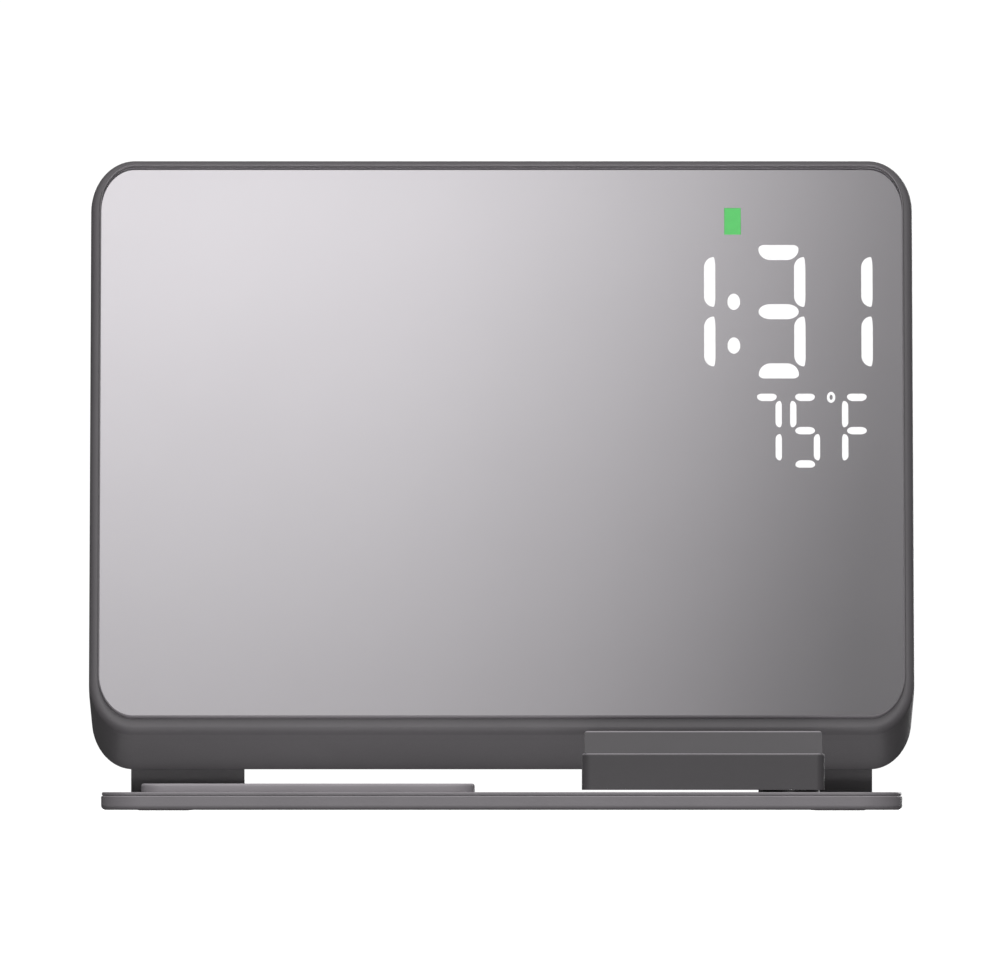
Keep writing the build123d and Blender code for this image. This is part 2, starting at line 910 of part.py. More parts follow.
def make_base_tray():
    shank, head, head_height = foot_screw
    body = tall(base_face(), base_bottom, cover_low)
    rim = body.faces().sort_by(Axis.Z)[0].outer_wire().edges()
    body = fillet(rim, tray_round)
    body = chamfer(body.faces().sort_by(Axis.Z)[-1].outer_wire().edges(), seam_edge)
    body -= tall(base_face(tray_wall), tray_inside, cover_low + overrun)
    rubber_roof = base_bottom + rubber_thickness - foot_proud + rubber_boss_roof
    for x, y in rubber_places():
        body += pillar(x, y, rubber_radius + rubber_boss_wall, tray_inside - overrun / 2, rubber_roof)
    screws = foot_screw_places() + [(swivel_x, swivel_y)]
    for x, y in screws:
        body += pillar(x, y, head + boss_wall, tray_inside - overrun / 2, cover_low)
    cuts = []
    for x, y in rubber_places():
        cuts.append(pillar(x, y, rubber_radius + fit_gap, base_bottom - overrun, rubber_thickness))
    for x, y in screws:
        cuts.append(pillar(x, y, shank + seat_gap, base_bottom, cover_low + overrun))
        cuts.append(pillar(x, y, head + seat_gap, base_bottom - overrun, foot_screw_seat()))
    return body - cuts


def foot_screw_seat():
    return base_bottom + screw_recess + foot_screw[2]


def make_base_cover():
    body = tall(base_face(cover_inset), cover_low, base_top)
    rim = body.faces().sort_by(Axis.Z)[-1].outer_wire().edges()
    body = fillet(rim, cover_round)
    body = chamfer(body.faces().sort_by(Axis.Z)[0].outer_wire().edges(), seam_edge)
    holes = [pillar(x, y, foot_screw[0] + seat_gap, cover_low - overrun, base_top + overrun)
             for x, y in foot_screw_places() + [(swivel_x, swivel_y)]]
    return body - holes


def make_rubber_feet():
    feet = []
    for x, y in rubber_places():
        foot = pillar(x, y, rubber_radius, 0, rubber_thickness)
        edge = foot.faces().sort_by(Axis.Z)[0].edges()
        feet.append(fillet(edge, rubber_round))
    return feet


def make_earbud_pad():
    place = Pos(pad_center, pad_middle_y)
    face = place * RectangleRounded(pad_width, pad_length, pad_corner)
    body = tall(face, base_top, base_top + pad_height)
    rim = body.faces().sort_by(Axis.Z)[-1].outer_wire().edges()
    return fillet(rim, pad_round)


def make_earbud_ferrite():
    place = Pos(pad_center, pad_middle_y)
    return tall(place * Circle(earbud_ferrite_radius), tray_inside, tray_inside + earbud_ferrite_thickness)


def make_earbud_coil():
    start = tray_inside + earbud_ferrite_thickness
    place = Pos(pad_center, pad_middle_y)
    return tall(place * ring(earbud_coil_radius, earbud_coil_bore), start, start + earbud_coil_thickness)


def make_base_board():
    place = Pos(0, axis_y - base_board_ahead)
    face = place * Rectangle(base_board_width, base_board_length)
    return tall(face, tray_inside, tray_inside + base_board_thickness)


def make_base_chips():
    low = tray_inside + base_board_thickness
    start = -(base_chip_count - 1) / 2 * base_chip_pitch
    square = Rectangle(base_chip_side, base_chip_side)
    places = [Pos(start + i * base_chip_pitch, axis_y - base_board_ahead) for i in range(base_chip_count)]
    return [tall(place * square, low, low + base_chip_thickness) for place in places]


def make_hinge_bracket(side):
    """A leg: a foot on the base plate, an upright arm and the barrel round the hinge pin."""
    arm_thickness = barrel_radius - arm_front
    x = side * leg_center
    foot_middle = Pos(x, axis_y + arm_front + foot_length / 2)
    foot_face = RectangleRounded(leg_width, foot_length, foot_round)
    body = tall(foot_middle * foot_face, base_top, base_top + foot_thickness)
    arm_face = Pos(x, axis_y + arm_front + arm_thickness / 2) * Rectangle(leg_width, arm_thickness)
    body += tall(arm_face, base_top, axis_z)
    body += Pos(x, axis_y, axis_z) * Rot(Y=90) * Cylinder(barrel_radius, leg_width)
    corner = body.edges().filter_by(Axis.X).filter_by_position(Axis.Z, base_top + foot_thickness - fit_gap,
                                                               base_top + foot_thickness + fit_gap)
    body = fillet(corner.sort_by(Axis.Y)[0], arm_round)
    body -= Pos(x, axis_y, axis_z) * Rot(Y=90) * Cylinder(pin_radius + fit_gap, leg_width + overrun)
    for hole_x, hole_y in foot_screw_places():
        if hole_x * side > 0:
            top = base_top + foot_screw_bite + fit_gap
            body -= pillar(hole_x, hole_y, foot_screw[0] + fit_gap, base_top - overrun, top)
    return body


def make_hinge_pins():
    length = leg_width + 2 * (pocket_side_gap + pocket_wall)
    places = [Pos(side * leg_center, axis_y, axis_z) for side in leg_sides]
    return [place * Rot(Y=90) * Cylinder(pin_radius, length) for place in places]


def make_bracket_screws():
    bite = base_top - foot_screw_seat() + foot_screw_bite
    return [Pos(x, y, foot_screw_seat()) * screw(foot_screw, bite) for x, y in foot_screw_places()]


# Swivel of the watch charger
def swivel_boss_top():
    return watch_low + watch_floor + swivel_boss_height


def make_swivel_post():
    place = Pos(swivel_x, swivel_y)
    body = tall(place * Circle(post_radius), base_top, base_top + post_height)
    clip_low = swivel_boss_top() + running_gap
    groove = ring(post_radius + overrun, post_radius - post_groove)
    body -= tall(place * groove, clip_low, clip_low + clip_thickness)
    bore = foot_screw[0] + fit_gap
    return body - tall(place * Circle(bore), base_top - overrun, base_top + foot_screw_bite + fit_gap)


def make_swivel_washer():
    face = ring(washer_radius, post_radius + running_gap)
    return tall(Pos(swivel_x, swivel_y) * face, base_top, watch_low - running_gap)


def make_swivel_clip():
    clip_low = swivel_boss_top() + running_gap
    face = ring(clip_radius, post_radius - post_groove + fit_gap)
    return tall(Pos(swivel_x, swivel_y) * face, clip_low, clip_low + clip_thickness - fit_gap)


def make_swivel_screw():
    bite = base_top - foot_screw_seat() + foot_screw_bite
    return Pos(swivel_x, swivel_y, foot_screw_seat()) * screw(foot_screw, bite)


def make_swivel_bush():
    bore = post_radius + running_gap
    return tall(Pos(swivel_x, swivel_y) * ring(bore + swivel_bush_wall, bore), watch_low, swivel_boss_top())


# Pieces of the watch charger
def watch_boss_places():
    left = watch_left + watch_boss_inset
    right = watch_left + watch_width - watch_boss_inset
    front = watch_front + watch_boss_inset
    rear = watch_front + watch_length - watch_boss_inset
    return [(left, front), (left, rear), (right, rear)]


def watch_screw_seat():
    return watch_low + screw_recess + watch_screw[2]


def make_watch_case():
    place = Pos(watch_middle_x, watch_middle_y)
    body = tall(place * RectangleRounded(watch_width, watch_length, watch_corner), watch_low, watch_seam)
    rim = body.faces().sort_by(Axis.Z)[-1].outer_wire().edges()
    body = fillet(rim, watch_case_round)
    inside = Rectangle(watch_width - 2 * watch_wall, watch_length - 2 * watch_wall)
    body -= tall(place * inside, watch_low + watch_floor, watch_seam + overrun)
    bush_radius = post_radius + running_gap + swivel_bush_wall
    root = watch_low + watch_floor / 2
    body += pillar(swivel_x, swivel_y, bush_radius + swivel_boss_wall, root, swivel_boss_top())
    for x, y in watch_boss_places():
        body += pillar(x, y, watch_boss_radius, root, watch_seam)
    for x, y in watch_board_posts():
        body += pillar(x, y, watch_boss_radius, root, watch_board_low())
    boss_end = swivel_boss_top() + overrun
    body -= pillar(swivel_x, swivel_y, bush_radius + fit_gap, watch_low - overrun, boss_end)
    for x, y in watch_boss_places():
        body -= pillar(x, y, watch_screw[0] + seat_gap, watch_low, watch_seam + overrun)
        body -= pillar(x, y, watch_screw[1] + seat_gap, watch_low - overrun, watch_screw_seat())
    return body


def watch_board_low():
    return watch_low + watch_floor + watch_board_standoff


def watch_board_middle():
    x = watch_left + watch_wall + watch_board_side_gap + watch_board_width / 2
    return x, watch_middle_y


def watch_board_posts():
    x, y = watch_board_middle()
    reach = watch_board_width / 2 - watch_boss_radius
    return [(x - reach, y), (x + reach, y)]


def make_watch_board():
    x, y = watch_board_middle()
    low = watch_board_low()
    face = Pos(x, y) * Rectangle(watch_board_width, watch_board_length)
    return tall(face, low, low + watch_board_thickness)


def lid_block(inset, low, high):
    """The lid's block with a front that slopes back, drawn in by inset at the sides, front and rear."""
    front = watch_front + watch_lid_inset + inset
    rear = watch_front + watch_length - watch_lid_inset - inset
    slope = watch_lid_slope * (high - low) / watch_lid_height
    outline = Polyline((front, low), (front + slope, high), (rear, high), (rear, low), close=True)
    width = watch_width - 2 * (watch_lid_inset + inset)
    plane = Plane(origin=(watch_middle_x - width / 2, 0, 0), x_dir=(0, 1, 0), z_dir=(1, 0, 0))
    return extrude(plane * make_face(outline.edges()), amount=width)


def puck_center():
    return Pos(watch_middle_x, watch_middle_y + watch_lid_slope / 2)


def make_watch_lid():
    body = lid_block(0, watch_seam, watch_top)
    body = fillet(body.faces().sort_by(Axis.Z)[-1].edges(), watch_lid_round)
    body -= lid_block(watch_wall, watch_seam - overrun, watch_top - watch_wall)
    for x, y in watch_boss_places():
        post = pillar(x, y, watch_boss_radius, watch_seam, watch_top - watch_wall / 2)
        body += post & lid_block(watch_lid_inset, watch_seam, watch_top)
    for x, y in watch_boss_places():
        body -= pillar(x, y, watch_screw[0] + fit_gap, watch_seam - overrun, watch_seam + watch_screw_bite)
    return body - tall(puck_center() * Circle(puck_radius + seat_gap), watch_seam, watch_top + overrun)


def make_watch_puck():
    low = watch_top - puck_thickness
    flange_top = watch_top - watch_wall
    body = tall(puck_center() * Circle(puck_radius), low, watch_top)
    flange = puck_center() * Circle(puck_radius + puck_flange)
    body += tall(flange, flange_top - puck_flange_thickness, flange_top)
    ball = (puck_dish_radius ** 2 + puck_dish_depth ** 2) / (2 * puck_dish_depth)
    return body - puck_center() * Pos(0, 0, watch_top - puck_dish_depth + ball) * Sphere(ball)


def watch_coil_top():
    return watch_top - puck_thickness


def make_watch_coil():
    low = watch_coil_top() - watch_coil_thickness
    return tall(puck_center() * ring(watch_coil_radius, watch_coil_bore), low, watch_coil_top())


def make_watch_magnet():
    low = watch_coil_top() - watch_coil_thickness
    return tall(puck_center() * Circle(watch_magnet_radius), low, watch_coil_top())


def make_watch_ferrite():
    high = watch_coil_top() - watch_coil_thickness
    return tall(puck_center() * Circle(watch_ferrite_radius), high - watch_ferrite_thickness, high)


def make_watch_screws():
    bite = watch_seam - watch_screw_seat() + watch_screw_bite - fit_gap
    return [Pos(x, y, watch_screw_seat()) * screw(watch_screw, bite) for x, y in watch_boss_places()]


# Every piece by its name: the leaning ones first, then those that stand
def slab_pieces():
    pieces = {
        "front_bezel": make_front_bezel(),
        "cover_glass": make_cover_glass(),
        "mirror_film": make_mirror_film(),
        "rear_housing": make_rear_housing(),
        "display_light_box": make_display_light_box(),
        "lit_segments": make_lit_segments(),
        "unlit_segments": make_unlit_segments(),
        "charge_indicator": make_charge_indicator(),
        "display_leds": make_display_leds(),
        "display_board": make_display_board(),
        "main_board": make_main_board(),
        "board_screws": make_board_screws(),
        "driver_chips": make_driver_chips(),
        "usb_shell": make_usb_shell(),
        "usb_tongue": make_usb_tongue(),
        "cell_holder": make_cell_holder(),
        "backup_cell": make_backup_cell(),
        "temperature_sensor": make_temperature_sensor(),
        "button_switches": make_button_switches(),
        "alarm_speaker": make_alarm_speaker(),
        "phone_coil_carrier": make_phone_coil_carrier(),
        "coil_screws": make_coil_screws(),
        "phone_coil": make_phone_coil(),
        "phone_ferrite": make_phone_ferrite(),
        "phone_magnets": make_phone_magnets(),
        "hinge_bushes": make_hinge_bushes(),
        "case_screws": make_case_screws(),
    }
    marks = button_marks()
    for name, (x, height) in zip(button_names, button_places()):
        pieces[name] = make_button(x, height, marks[name])
    return pieces


def standing_pieces():
    return {
        "base_tray": make_base_tray(),
        "base_cover": make_base_cover(),
        "rubber_feet": make_rubber_feet(),
        "earbud_pad": make_earbud_pad(),
        "earbud_ferrite": make_earbud_ferrite(),
        "earbud_coil": make_earbud_coil(),
        "base_board": make_base_board(),
        "base_chips": make_base_chips(),
        "left_hinge_bracket": make_hinge_bracket(-1),
        "right_hinge_bracket": make_hinge_bracket(1),
        "hinge_pins": make_hinge_pins(),
        "bracket_screws": make_bracket_screws(),
        "swivel_post": make_swivel_post(),
        "swivel_washer": make_swivel_washer(),
        "swivel_clip": make_swivel_clip(),
        "swivel_screw": make_swivel_screw(),
        "swivel_bush": make_swivel_bush(),
        "watch_case": make_watch_case(),
        "watch_lid": make_watch_lid(),
        "watch_puck": make_watch_puck(),
        "watch_coil": make_watch_coil(),
        "watch_magnet": make_watch_magnet(),
        "watch_ferrite": make_watch_ferrite(),
        "watch_board": make_watch_board(),
        "watch_screws": make_watch_screws(),
    }


def solids_of(piece):
    """The separate solids of a piece, which is one shape or a list of them."""
    shapes = piece if isinstance(piece, list) else [piece]
    return [solid for shape in shapes for solid in shape.solids()]


def write(name, solids):
    export_step(Compound(children=solids), f"parts/{name}.step")


def main():
    os.makedirs("parts", exist_ok=True)
    for name, piece in slab_pieces().items():
        write(name, [lean(solid) for solid in solids_of(piece)])
    for name, piece in standing_pieces().items():
        write(name, solids_of(piece))


main()
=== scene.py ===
import json
import math

import bpy
import bmesh
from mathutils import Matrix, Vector


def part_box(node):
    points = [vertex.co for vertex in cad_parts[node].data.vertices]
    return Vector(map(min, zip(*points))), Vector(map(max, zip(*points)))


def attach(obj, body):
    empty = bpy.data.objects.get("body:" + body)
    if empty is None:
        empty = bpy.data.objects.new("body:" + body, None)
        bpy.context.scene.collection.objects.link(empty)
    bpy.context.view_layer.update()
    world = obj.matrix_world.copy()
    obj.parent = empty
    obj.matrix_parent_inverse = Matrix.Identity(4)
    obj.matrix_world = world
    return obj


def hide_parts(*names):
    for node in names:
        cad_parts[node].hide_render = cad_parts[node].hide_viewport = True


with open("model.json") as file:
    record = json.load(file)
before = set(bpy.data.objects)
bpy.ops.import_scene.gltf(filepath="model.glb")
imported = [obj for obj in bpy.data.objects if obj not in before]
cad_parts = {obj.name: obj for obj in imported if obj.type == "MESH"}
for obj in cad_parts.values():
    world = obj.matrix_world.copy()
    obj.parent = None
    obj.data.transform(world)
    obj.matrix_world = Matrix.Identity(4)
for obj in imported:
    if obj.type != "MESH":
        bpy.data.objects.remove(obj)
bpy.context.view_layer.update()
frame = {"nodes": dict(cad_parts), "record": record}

# Places in the photograph, in its 986 by 964 pixels
PHOTO_WIDTH = 986
PHOTO_HEIGHT = 964
SLAB_LEFT_PX = 90.0
SLAB_RIGHT_PX = 913.2
PLATE_FOOT_PX = 809.8

# Camera, in millimetres
LENS = 1650.0
SENSOR = 36.0
# Share of the way from the origin to the slab's middle where the photograph's scale holds
SCALE_PLANE_SHARE = 0.75

# Places and sizes in metres
slab_low, slab_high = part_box("rear_housing")
plate_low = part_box("base_tray")[0]
cover_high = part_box("base_cover")[1]
glass_low, glass_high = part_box("cover_glass")
slab_middle = (slab_low + slab_high) / 2
metres_per_px = (slab_high.x - slab_low.x) / (SLAB_RIGHT_PX - SLAB_LEFT_PX)
# How far the slab leans back, and the ways out of its front and up along it
TILT = math.radians(28.0)
OUTWARD = Vector((0.0, -math.cos(TILT), math.sin(TILT)))
UPWARD = Vector((0.0, math.sin(TILT), math.cos(TILT)))
# From the film to the back of the glass, and the most that lies between copies of one point
FILM_GAP = 0.00004
SAME_PLACE = 0.0000004
# Silvered bars reach this far past their outlines and this far in front of the film, to fill their windows
BAR_SPREAD = 0.00004
BAR_LIFT = 0.000006
# Faces of a front sheet that look less outward than this are its cut edges
EDGE_FACING = 0.9
# The glass's upper edge looks more upward than this, and less outward
TOP_FACING = 0.3
# Places in a front sheet's list of finishes
CUT_FINISH = 1
TOP_FINISH = 2

# Materials: how strongly rounded edges take a painted highlight, by how far up their faces look
EDGE_HIGHLIGHT_RAMP = ((0.54, 0.0), (0.64, 1.0), (0.93, 1.0), (0.98, 0.0))
# The range in which nearly all of a noise lies
NOISE_LOW = 0.3
NOISE_HIGH = 0.7
# Solid finishes: grain, how much broader their patches are, and how far colour and gloss wander
FINE_DETAIL = 4.0
BROAD_DETAIL = 3.0
BROADER = 60.0
COLOUR_WANDER = 0.035
GLOSS_WANDER = 0.12
GRAIN_STRENGTH = 0.5
GREEN_SHARE = 0.94
# Diffusers with a light behind them
GLOW_SCALE = 900.0
GLOW_DETAIL = 1.0
GLOW_DIM_SHARE = 0.92
GLOW_BASE_SHARE = 0.1
GLOW_ROUGHNESS = 0.5
WHITE_GLOW = 1.05
WHITE_LIGHT = (1.0, 1.0, 1.0)
GREEN_GLOW = 1.0
GREEN_LIGHT = (0.082, 0.589, 0.124)
# Silvering and clear glass
SILVER = (0.93, 0.925, 0.935)
SILVER_SCALE = 28.0
SILVER_DETAIL = 4.0
SILVER_DIM_SHARE = 0.985
SILVER_ROUGHNESS = (0.03, 0.05)
GLASS_COLOUR = (0.05, 0.052, 0.052)
GLASS_ALPHA = 0.06
GLASS_SCALE = 60.0
GLASS_DETAIL = 3.0
GLASS_ROUGHNESS = (0.02, 0.05)


def new_material(name):
    """A material with its Principled node, node list and links."""
    material = bpy.data.materials.new(name)
    material.use_nodes = True
    nodes = material.node_tree.nodes
    return material, nodes["Principled BSDF"], nodes, material.node_tree.links


def noise(nodes, links, scale, detail):
    place = nodes.new("ShaderNodeTexCoord")
    texture = nodes.new("ShaderNodeTexNoise")
    texture.inputs["Scale"].default_value = scale
    texture.inputs["Detail"].default_value = detail
    links.new(place.outputs["Object"], texture.inputs["Vector"])
    return texture


def spread(nodes, links, texture, low, high):
    """The texture's value brought from its middle range to the range low to high."""
    span = nodes.new("ShaderNodeMapRange")
    span.inputs["From Min"].default_value = NOISE_LOW
    span.inputs["From Max"].default_value = NOISE_HIGH
    span.inputs["To Min"].default_value = low
    span.inputs["To Max"].default_value = high
    links.new(texture.outputs["Fac"], span.inputs["Value"])
    return span.outputs["Result"]


def tint(nodes, links, texture, dark, light):
    """A colour that wanders between dark and light with the texture."""
    ramp = nodes.new("ShaderNodeValToRGB")
    low, high = ramp.color_ramp.elements
    low.position = NOISE_LOW
    low.color = (*dark, 1.0)
    high.position = NOISE_HIGH
    high.color = (*light, 1.0)
    links.new(texture.outputs["Fac"], ramp.inputs["Fac"])
    return ramp.outputs["Color"]


def bump(nodes, links, texture, depth):
    node = nodes.new("ShaderNodeBump")
    node.inputs["Distance"].default_value = depth
    node.inputs["Strength"].default_value = GRAIN_STRENGTH
    links.new(texture.outputs["Fac"], node.inputs["Height"])
    return node.outputs["Normal"]


def shaded(colour, share):
    return tuple(channel * share for channel in colour)


def grey(level):
    """A grey with the faint violet cast of the clock's plastics."""
    return (level, level * GREEN_SHARE, level)


def grade_ramp(nodes, grade, colour):
    """A ramp with shares of a colour at the places that grade lists."""
    ramp = nodes.new("ShaderNodeValToRGB")
    elements = ramp.color_ramp.elements
    while len(elements) < len(grade):
        elements.new(1.0)
    for element, (place, share) in zip(elements, grade):
        element.position = place
        element.color = (*shaded(colour, share), 1.0)
    return ramp


def paint_edge_highlight(nodes, links, colours, light):
    """Rounded upper edges, between the sides and the flat top, lightened as a painted highlight where top
    light would catch them.
    """
    place = nodes.new("ShaderNodeTexCoord")
    split = nodes.new("ShaderNodeSeparateXYZ")
    links.new(place.outputs["Normal"], split.inputs["Vector"])
    ramp = grade_ramp(nodes, EDGE_HIGHLIGHT_RAMP, WHITE_LIGHT)
    links.new(split.outputs["Z"], ramp.inputs["Fac"])
    mix = nodes.new("ShaderNodeMix")
    mix.data_type = "RGBA"
    links.new(ramp.outputs["Color"], mix.inputs["Factor"])
    links.new(colours, mix.inputs["A"])
    mix.inputs["B"].default_value = (*light, 1.0)
    return mix.outputs["Result"]


def surface(name, colour, roughness, grain, depth, metallic=0.0, specular=0.5, edge=None):
    """A solid finish: a fine grain in the bump, and colour and gloss that wander a little; given an edge
    colour, a painted highlight on rounded upper edges.
    """
    material, shader, nodes, links = new_material(name)
    fine = noise(nodes, links, grain, FINE_DETAIL)
    broad = noise(nodes, links, grain / BROADER, BROAD_DETAIL)
    dark = shaded(colour, 1 - COLOUR_WANDER)
    light = shaded(colour, 1 + COLOUR_WANDER)
    colours = tint(nodes, links, broad, dark, light)
    # Painted highlight: rounded upper edges lightened towards the edge colour, by how far up they face
    if edge:
        colours = paint_edge_highlight(nodes, links, colours, edge)
    links.new(colours, shader.inputs["Base Color"])
    gloss = spread(nodes, links, fine, roughness * (1 - GLOSS_WANDER), roughness * (1 + GLOSS_WANDER))
    links.new(gloss, shader.inputs["Roughness"])
    links.new(bump(nodes, links, fine, depth), shader.inputs["Normal"])
    shader.inputs["Metallic"].default_value = metallic
    shader.inputs["Specular IOR Level"].default_value = specular
    return material


def glowing(name, colour, strength):
    """A diffuser with a light behind it, a little brighter where its light is closer."""
    material, shader, nodes, links = new_material(name)
    patch = noise(nodes, links, GLOW_SCALE, GLOW_DETAIL)
    light = tint(nodes, links, patch, shaded(colour, GLOW_DIM_SHARE), colour)
    links.new(light, shader.inputs["Emission Color"])
    shader.inputs["Base Color"].default_value = (*shaded(colour, GLOW_BASE_SHARE), 1.0)
    shader.inputs["Emission Strength"].default_value = strength
    shader.inputs["Roughness"].default_value = GLOW_ROUGHNESS
    return material


def mirror_coat(name):
    """Silvering: a clean mirror with the faintest cloudiness."""
    material, shader, nodes, links = new_material(name)
    cloud = noise(nodes, links, SILVER_SCALE, SILVER_DETAIL)
    silver = tint(nodes, links, cloud, shaded(SILVER, SILVER_DIM_SHARE), SILVER)
    links.new(silver, shader.inputs["Base Color"])
    links.new(spread(nodes, links, cloud, *SILVER_ROUGHNESS), shader.inputs["Roughness"])
    shader.inputs["Metallic"].default_value = 1.0
    return material


def clear_glass(name):
    """Thin clear glass: hardly there, apart from its gloss."""
    material, shader, nodes, links = new_material(name)
    smear = noise(nodes, links, GLASS_SCALE, GLASS_DETAIL)
    links.new(spread(nodes, links, smear, *GLASS_ROUGHNESS), shader.inputs["Roughness"])
    shader.inputs["Base Color"].default_value = (*GLASS_COLOUR, 1.0)
    shader.inputs["Alpha"].default_value = GLASS_ALPHA
    return material


# Solid finishes, with the depth of their grain in metres
surface_looks = {
    "graphite_shell": dict(colour=grey(0.096), roughness=0.5, grain=4200.0, depth=0.00002, specular=0.3),
    "plate": dict(colour=grey(0.233), roughness=0.5, grain=4200.0, depth=0.00002, specular=0.3),
    # The watch block's edge colour is a painted highlight on its rounded upper edges
    "watch_shell": dict(colour=grey(0.073), roughness=0.5, grain=4200.0, depth=0.00002,
                        specular=0.3, edge=grey(0.27)),
    "glass_edge": dict(colour=grey(0.24), roughness=0.6, grain=3000.0, depth=0.00001, specular=0.2),
    # A lighter copy of the glass's edge paint, for its upper edge only: painted light to match the lit
    # bezel
    "glass_top_painted_light": dict(colour=grey(0.42), roughness=0.6, grain=3000.0, depth=0.00001, specular=0.2),
    "film_edge": dict(colour=grey(0.6), roughness=0.5, grain=3000.0, depth=0.00001),
    "light_box": dict(colour=grey(0.006), roughness=0.6, grain=3000.0, depth=0.00001),
    "circuit_board": dict(colour=(0.015, 0.12, 0.045), roughness=0.35, grain=800.0, depth=0.00002),
    "chip": dict(colour=grey(0.018), roughness=0.55, grain=3000.0, depth=0.00002),
    "led": dict(colour=(0.8, 0.74, 0.45), roughness=0.3, grain=2000.0, depth=0.00001),
    "steel": dict(colour=(0.55, 0.55, 0.56), roughness=0.28, grain=2500.0, depth=0.00001, metallic=1.0),
    "copper": dict(colour=(0.72, 0.32, 0.14), roughness=0.35, grain=1800.0, depth=0.00003, metallic=1.0),
    "ferrite": dict(colour=grey(0.05), roughness=0.7, grain=1500.0, depth=0.00003),
    "magnet": dict(colour=(0.68, 0.68, 0.66), roughness=0.22, grain=1800.0, depth=0.00001, metallic=1.0),
    "inner_plastic": dict(colour=grey(0.06), roughness=0.6, grain=2600.0, depth=0.00003),
    "bush": dict(colour=grey(0.025), roughness=0.4, grain=2400.0, depth=0.00001),
    "button": dict(colour=grey(0.05), roughness=0.5, grain=4000.0, depth=0.00002),
    "leg": dict(colour=grey(0.095), roughness=0.5, grain=3600.0, depth=0.00004),
    "pad": dict(colour=grey(0.317), roughness=0.62, grain=4600.0, depth=0.00002, specular=0.3),
    "foot": dict(colour=grey(0.03), roughness=0.8, grain=2200.0, depth=0.00004),
    "puck": dict(colour=grey(0.12), roughness=0.22, grain=3000.0, depth=0.00001),
}
finishes = {name: surface(name, **look) for name, look in surface_looks.items()}
finishes["mirror"] = mirror_coat("mirror")
finishes["clear_glass"] = clear_glass("clear_glass")
finishes["lit_diffuser"] = glowing("lit_diffuser", WHITE_LIGHT, WHITE_GLOW)
finishes["green_diffuser"] = glowing("green_diffuser", GREEN_LIGHT, GREEN_GLOW)
# Pieces that don't take the finish of their slot
own_finish = {
    "base_tray": "plate",
    "base_cover": "plate",
    "watch_case": "watch_shell",
    "watch_lid": "watch_shell",
}


def dress_nodes():
    """Every CAD piece takes the finish of its slot, or its own."""
    for part in frame["record"]["subparts"]:
        node = frame["nodes"][part["node"]]
        finish = finishes[own_finish.get(part["node"], part["material_slot"])]
        node.data.materials.clear()
        node.data.materials.append(finish)


dress_nodes()


# The front glass, and the silvered film and bars behind it
def lift_back(mesh):
    """Bring the glass's back face just off the film, so that the two don't share a plane."""
    back = min(vertex.co.dot(OUTWARD) for vertex in mesh.vertices)
    for vertex in mesh.vertices:
        if vertex.co.dot(OUTWARD) < back + FILM_GAP:
            vertex.co += OUTWARD * FILM_GAP


def lighten_top_edge(mesh):
    """Paint the glass's upper edge a lighter grey than its other cut edges, as painted light: seen through
    the front it lies in shade, and the lighter paint makes it as bright as the lit bezel.
    """
    mesh.materials.append(finishes["glass_top_painted_light"])
    for face in mesh.polygons:
        outward = abs(face.normal.dot(OUTWARD))
        if outward < TOP_FACING < face.normal.dot(UPWARD):
            face.material_index = TOP_FINISH


def front_of(mesh):
    return max(vertex.co.dot(OUTWARD) for vertex in mesh.vertices)


def fill_windows(mesh, front):
    """Let silvered bars fill their windows in the film, so that no outline of them shows."""
    bar_front = front_of(mesh)
    shape = bmesh.new()
    shape.from_mesh(mesh)
    bmesh.ops.remove_doubles(shape, verts=shape.verts, dist=SAME_PLACE)
    shape.normal_update()
    for vertex in shape.verts:
        outward = OUTWARD * vertex.normal.dot(OUTWARD)
        sideways = (vertex.normal - outward).normalized()
        vertex.co += sideways * BAR_SPREAD
        if vertex.co.dot(OUTWARD) > bar_front - FILM_GAP:
            vertex.co += OUTWARD * (front - bar_front + BAR_LIFT)
    shape.to_mesh(mesh)
    shape.free()


def make_sheet(node, edge):
    """A flat copy of a front sheet, with its cut edges painted."""
    mesh = frame["nodes"][node].data.copy()
    mesh.attributes.remove(mesh.attributes["custom_normal"])
    mesh.shade_flat()
    mesh.materials.append(finishes[edge])
    for face in mesh.polygons:
        if abs(face.normal.dot(OUTWARD)) < EDGE_FACING:
            face.material_index = CUT_FINISH
    sheet = bpy.data.objects.new("flat_" + node, mesh)
    bpy.context.collection.objects.link(sheet)
    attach(sheet, "slab")
    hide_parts(node)
    return sheet


glass = make_sheet("cover_glass", "glass_edge")
lighten_top_edge(glass.data)
lift_back(glass.data)
film = make_sheet("mirror_film", "film_edge")
dark_bars = make_sheet("unlit_segments", "film_edge")
fill_windows(dark_bars.data, front_of(film.data))


# Stage: floor, graded card, room, lights and camera
FLOOR_RADIUS = 14.0
FLOOR_SIDES = 128
FLOOR_COLOUR = (0.86, 0.86, 0.86)
FLOOR_ROUGHNESS = 0.9
FLOOR_GLOW = 0.95
FLOOR_DROP = 0.0001
CARD_AWAY = 0.55
CARD_HALF = 0.6
CARD_STRENGTH = 1.25
# Brightness of the card from its left edge to its right edge, and its share of that from top to bottom
ACROSS_GRADE = ((0.0, 0.812), (0.2, 0.8), (0.4, 0.73), (0.6, 0.6), (0.8, 0.44), (1.0, 0.23))
DOWN_GRADE = ((0.0, 1.0), (0.25, 0.92), (0.5, 0.8), (0.75, 0.7), (1.0, 0.58))
CARD_SLANT = 0.118
CARD_TINT = (1.0, 0.967, 1.0)
ROOM_LIGHT = 0.16
ROOM_WHITE = 1.05
